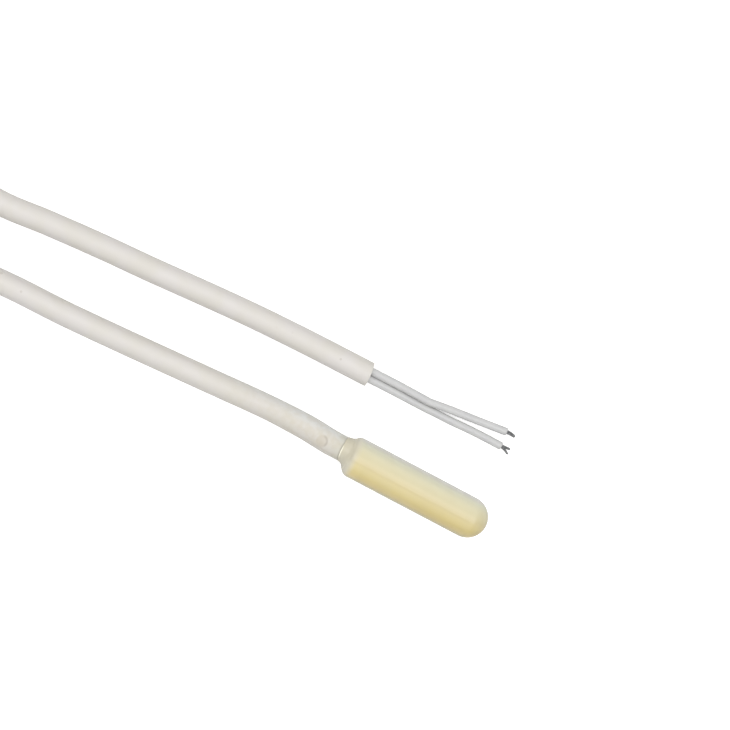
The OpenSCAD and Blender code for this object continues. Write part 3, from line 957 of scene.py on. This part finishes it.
def skin_rows(head):
    """The skin's rings, from the nose back to the lip and inside to the nose again. Rows: x,
    radius, sideways place, share of the lip's slant and lift, 1 outside and 0 inside."""
    radius = head.diameter / MM / 2
    inner = radius - head.skin_wall / MM
    hole = LIP_HOLE
    lip_r = hole + head.lip_wall / MM
    flare, shoulder = head.flare_radius / MM, head.shoulder_radius / MM
    flare_x = LIP_X + head.lip_length / MM
    meet = math.degrees(math.asin(1 - (radius - lip_r) / (flare + shoulder)))
    shoulder_x = flare_x + (flare + shoulder) * math.cos(math.radians(meet))
    rows = [(x, r, 0, 0, 1) for x, r in arc(NOSE_X, 0, radius, 0, 90, 24)[1:]]
    for k in range(1, 13):
        rows.append((NOSE_X + (shoulder_x - NOSE_X) * k / 13, radius, 0, 0, 1))
    # Over the shoulder and the flare the rings shift aside to the lip's centre
    for k, (x, r) in enumerate(arc(shoulder_x, radius - shoulder, shoulder, 90, 180 - meet, 8)):
        rows.append((x, r, CABLE_OFFSET * 0.35 * ease(k / 8), 0.1 * ease(k / 8), 1))
    for k, (x, r) in enumerate(arc(flare_x, lip_r + flare, flare, -meet, -90, 8)):
        share = 0.35 + 0.65 * ease(k / 6)
        rows.append((x, r, CABLE_OFFSET * share, 0.1 + 0.9 * ease(k / 8), 1))
    # The lip's rounded edge, the hole round the cable, and the capsule's space
    edge = (0.02, lip_r - 0.01), (0, lip_r - 0.03), (0.02, lip_r - 0.055), (0.15, hole + 0.03)
    rows += [(LIP_X + x, r, CABLE_OFFSET, 1, 1) for x, r in edge]
    rows += [
        (LIP_X + 0.5, hole, CABLE_OFFSET, 0.7, 0),
        (CAPSULE_X - 0.02, hole, CABLE_OFFSET, 0, 0),
        (CAPSULE_X - 0.02, inner - 0.1, -CAPSULE_OFFSET, 0, 0),
        (CAPSULE_X + 0.05, inner, -CAPSULE_OFFSET, 0, 0),
    ]
    for k in range(1, 6):
        rows.append((CAPSULE_X + (NOSE_X - CAPSULE_X) * k / 5, inner, -CAPSULE_OFFSET, 0, 0))
    dome = arc(NOSE_X, 0, inner, 90, 0, 16)[1:-1]
    return rows + [(x, r, -CAPSULE_OFFSET, 0, 0) for x, r in dome]


class SENSOR_OT_skin(Operator):
    """Moulds the translucent skin with its lip, flare, shoulder and round nose"""

    bl_idname = "sensor.skin"
    bl_label = "Translucent skin"

    def execute(self, context):
        head = context.scene.sensor_head
        radius = head.diameter / MM / 2
        wall, lip = head.skin_wall / MM, head.lip_wall / MM
        sides = 96
        bm = bmesh.new()
        outside = bm.verts.layers.float.new("outer")
        depth = bm.verts.layers.float.new("depth")
        rim = bm.verts.layers.float.new("rim")
        rings = []
        for x, r, sideways, slant, outer in skin_rows(head):
            ring = []
            for k in range(sides):
                a = 2 * math.pi * k / sides
                up, side = math.cos(a), math.sin(a)
                lean = (-LIP_LEAN_UP * up - LIP_LEAN_SIDE * side) * slant
                # The lip keeps its full wall at its top and a quarter of it elsewhere
                thin = 0.75 * lip * slant * outer * (1 - max(0, math.cos(a - 0.2)) ** 2)
                snug = r - thin
                height = AXIS_Z + snug * up + 0.06 * slant
                v = bm.verts.new(Vector((x + lean, sideways + snug * side, height)) * MM)
                v[outside] = outer
                over = wall + CAPSULE_OFFSET * side + (EDGE_MILK if x < CAPSULE_X + 0.3 else 0)
                v[depth] = over if x > CAPSULE_X else max(LEAST_MILK, r - CABLE_RADIUS)
                # The lip's edge holds the painted highlight's mask, strongest near its top
                turn = abs(math.remainder(a + 0.2, 2 * math.pi))
                v[rim] = ease(1.5 - 2.2 * turn) if x < LIP_X + 0.1 else 0
                ring.append(v)
            rings.append(ring)
        bridge_rings(bm, rings)
        tips = (rings[0], radius, 0, 1), (rings[-1], radius - wall, -CAPSULE_OFFSET, 0)
        for ring, reach, y, outer in tips:
            x = NOSE_X + reach
            tip = bm.verts.new(Vector((x, y, AXIS_Z)) * MM)
            tip[outside] = outer
            tip[depth] = wall
            for k in range(sides):
                bm.faces.new((ring[k], ring[(k + 1) % sides], tip))
        skin = object_from("skin", bm)
        finish_piece(skin, skin_material(head), "overmould", "outer_overmould")
        return {"FINISHED"}


class SENSOR_OT_capsule(Operator):
    """Colours the yellow capsule under the skin"""

    bl_idname = "sensor.capsule"
    bl_label = "Yellow capsule"

    def execute(self, context):
        base = context.scene.sensor_head.capsule_colour
        material = plain_plastic("Yellow capsule", base, srgb(232, 204, 126), 0.38, 3000.0, 0.02)
        dress(material, "capsule")
        return {"FINISHED"}


class SENSOR_OT_sealed(Operator):
    """Gives the sealed pieces in the capsule their resin, ceramic, sleeve and metal finishes"""

    bl_idname = "sensor.sealed"
    bl_label = "Sealed pieces"

    def execute(self, context):
        for name, base, worn, roughness, grains, depth, nodes in SEALED_PLASTICS:
            material = plain_plastic(name, srgb(*base), srgb(*worn), roughness, grains, depth)
            dress(material, *nodes)
        base = context.scene.sensor_wires.tinned_colour
        tinned = metal_material("Tinned leads", base, 0.35, srgb(120, 116, 110))
        dress(tinned, "thermistor_lead_a", "thermistor_lead_b")
        dress(tinned, "inner_conductor_a", "inner_conductor_b")
        solder = metal_material("Solder", srgb(190, 190, 192), 0.24, srgb(150, 150, 154))
        dress(solder, "solder_joint_a", "solder_joint_b")
        return {"FINISHED"}


class SENSOR_OT_cord(Operator):
    bl_idname = "sensor.cord"
    bl_label = "Declare the cord"

    def execute(self, context):
        scene = context.scene
        pieces = ["wire_a", "wire_b", "tie"]
        pieces += [f"strand_{k}{i}_tinned" for k in "ab" for i in range(1, 8)]
        path = json.loads(scene["cable_points"])
        return {"FINISHED"}


def lay_floor(stage):
    """A paper floor. It glows for the camera only, and throws back less light than it shows."""
    bm = bmesh.new()
    bmesh.ops.create_grid(bm, x_segments=8, y_segments=8, size=1.6)
    floor = object_from("floor", bm, smooth=False)
    material, tree, shader, coords = new_material("Paper floor", 0.9, Specular_IOR_Level=0.1)
    grain = put_grain(tree, coords, 900.0, 30.0)
    seen = tree.nodes.new("ShaderNodeLightPath").outputs["Is Camera Ray"]
    paper = blend(tree, grain.outputs["Patches"], stage.floor_colour, srgb(248, 248, 247))
    shader.inputs["Emission Color"].default_value = (1, 1, 1, 1)
    bounce = (stage.floor_bounce,) * 3
    tree.links.new(blend(tree, seen, bounce, paper), shader.inputs["Base Color"])
    tree.links.new(times(tree, seen, stage.floor_glow), shader.inputs["Emission Strength"])
    floor.data.materials.append(material)


def light_room(scene, stage):
    """The room's light, paler just above the horizon and dim overhead, and three soft lights."""
    world = bpy.data.worlds.new("Room")
    scene.world = world
    world.use_nodes = True
    room = world.node_tree
    backdrop = room.nodes["Background"]
    backdrop.inputs["Color"].default_value = (1, 1, 1, 1)
    height = split(room, room.nodes.new("ShaderNodeTexCoord").outputs["Generated"])["Z"]
    strength = remap(room, height, 0.2, 0.6, stage.horizon, stage.sky)
    room.links.new(strength, backdrop.inputs["Strength"])
    for name, power, size, place, aim in (
        ("soft_box", stage.key_power, (1.2, 0.42), (0.0, 0.047, 0.6), (0.0, 0.047, 0.0)),
        ("panel_far", stage.fill_power * 1.5, (1.2, 0.7), (0.0, 0.62, 0.5), (0.0, 0.2, 0.0)),
        ("panel_near", stage.fill_power * 1.3, (1.2, 0.7), (0.0, -0.56, 0.5), (0.0, -0.15, 0.0)),
    ):
        data = bpy.data.lights.new(name, "AREA")
        data.shape = "RECTANGLE"
        data.size, data.size_y = size
        data.energy = power
        light = bpy.data.objects.new(name, data)
        light.location = place
        light.rotation_mode = "QUATERNION"
        light.rotation_quaternion = (Vector(aim) - Vector(place)).to_track_quat("-Z", "Y")
        light.visible_camera = False
        scene.collection.objects.link(light)


def place_camera(scene, distance):
    """The camera, tilted a little from straight above."""
    tilt = math.radians(CAMERA_TILT)
    towards = Vector(CAMERA_LEAN).normalized() * math.sin(tilt) + Vector((0, 0, math.cos(tilt)))
    data = bpy.data.cameras.new("camera")
    data.sensor_width = SENSOR_WIDTH
    data.lens = SENSOR_WIDTH * distance / (VIEW_WIDTH * MM)
    data.clip_start = 0.01
    camera = bpy.data.objects.new("camera", data)
    right = Vector(CAMERA_RIGHT)
    side = (right - towards * right.dot(towards)).normalized()
    turned = Matrix((side, towards.cross(side), towards)).transposed().to_4x4()
    place = Vector(CAMERA_TARGET) * MM + towards * distance
    camera.matrix_world = Matrix.Translation(place) @ turned
    scene.collection.objects.link(camera)
    scene.camera = camera


class SENSOR_OT_stage(Operator):
    """Sets the paper floor, the soft lights and the camera"""

    bl_idname = "sensor.stage"
    bl_label = "Stage"

    def execute(self, context):
        scene = context.scene
        stage = scene.sensor_stage
        lay_floor(stage)
        light_room(scene, stage)
        place_camera(scene, stage.distance)
        scene.view_settings.view_transform = "Standard"
        return {"FINISHED"}


class SENSOR_PT_panel(Panel):
    """Lists the sensor's pieces and their sizes"""

    bl_label = "Cable temperature sensor"
    bl_idname = "SENSOR_PT_panel"
    bl_space_type = "VIEW_3D"
    bl_region_type = "UI"
    bl_category = "Sensor"

    def draw(self, context):
        for name in SETTINGS:
            group = getattr(context.scene, name)
            box = self.layout.box()
            for setting in group.__annotations__:
                box.prop(group, setting)
        for operator in OPERATORS:
            self.layout.operator(operator.bl_idname)


OPERATORS = (
    SENSOR_OT_stage,
    SENSOR_OT_cable,
    SENSOR_OT_tie,
    SENSOR_OT_wires,
    SENSOR_OT_strands,
    SENSOR_OT_skin,
    SENSOR_OT_capsule,
    SENSOR_OT_sealed,
    SENSOR_OT_cord,
)
SETTINGS = {
    "sensor_head": HeadSettings,
    "sensor_cable": CableSettings,
    "sensor_wires": WireSettings,
    "sensor_hank": HankSettings,
    "sensor_stage": StageSettings,
}


def register():
    for cls in (*SETTINGS.values(), *OPERATORS, SENSOR_PT_panel):
        bpy.utils.register_class(cls)
    for name, cls in SETTINGS.items():
        setattr(bpy.types.Scene, name, PointerProperty(type=cls))


def unregister():
    for name in SETTINGS:
        delattr(bpy.types.Scene, name)
    for cls in (SENSOR_PT_panel, *reversed(OPERATORS), *SETTINGS.values()):
        bpy.utils.unregister_class(cls)


def main():
    register()
    for operator in OPERATORS:
        group, name = operator.bl_idname.split(".")
        getattr(getattr(bpy.ops, group), name)()


if __name__ == "__main__":
    main()
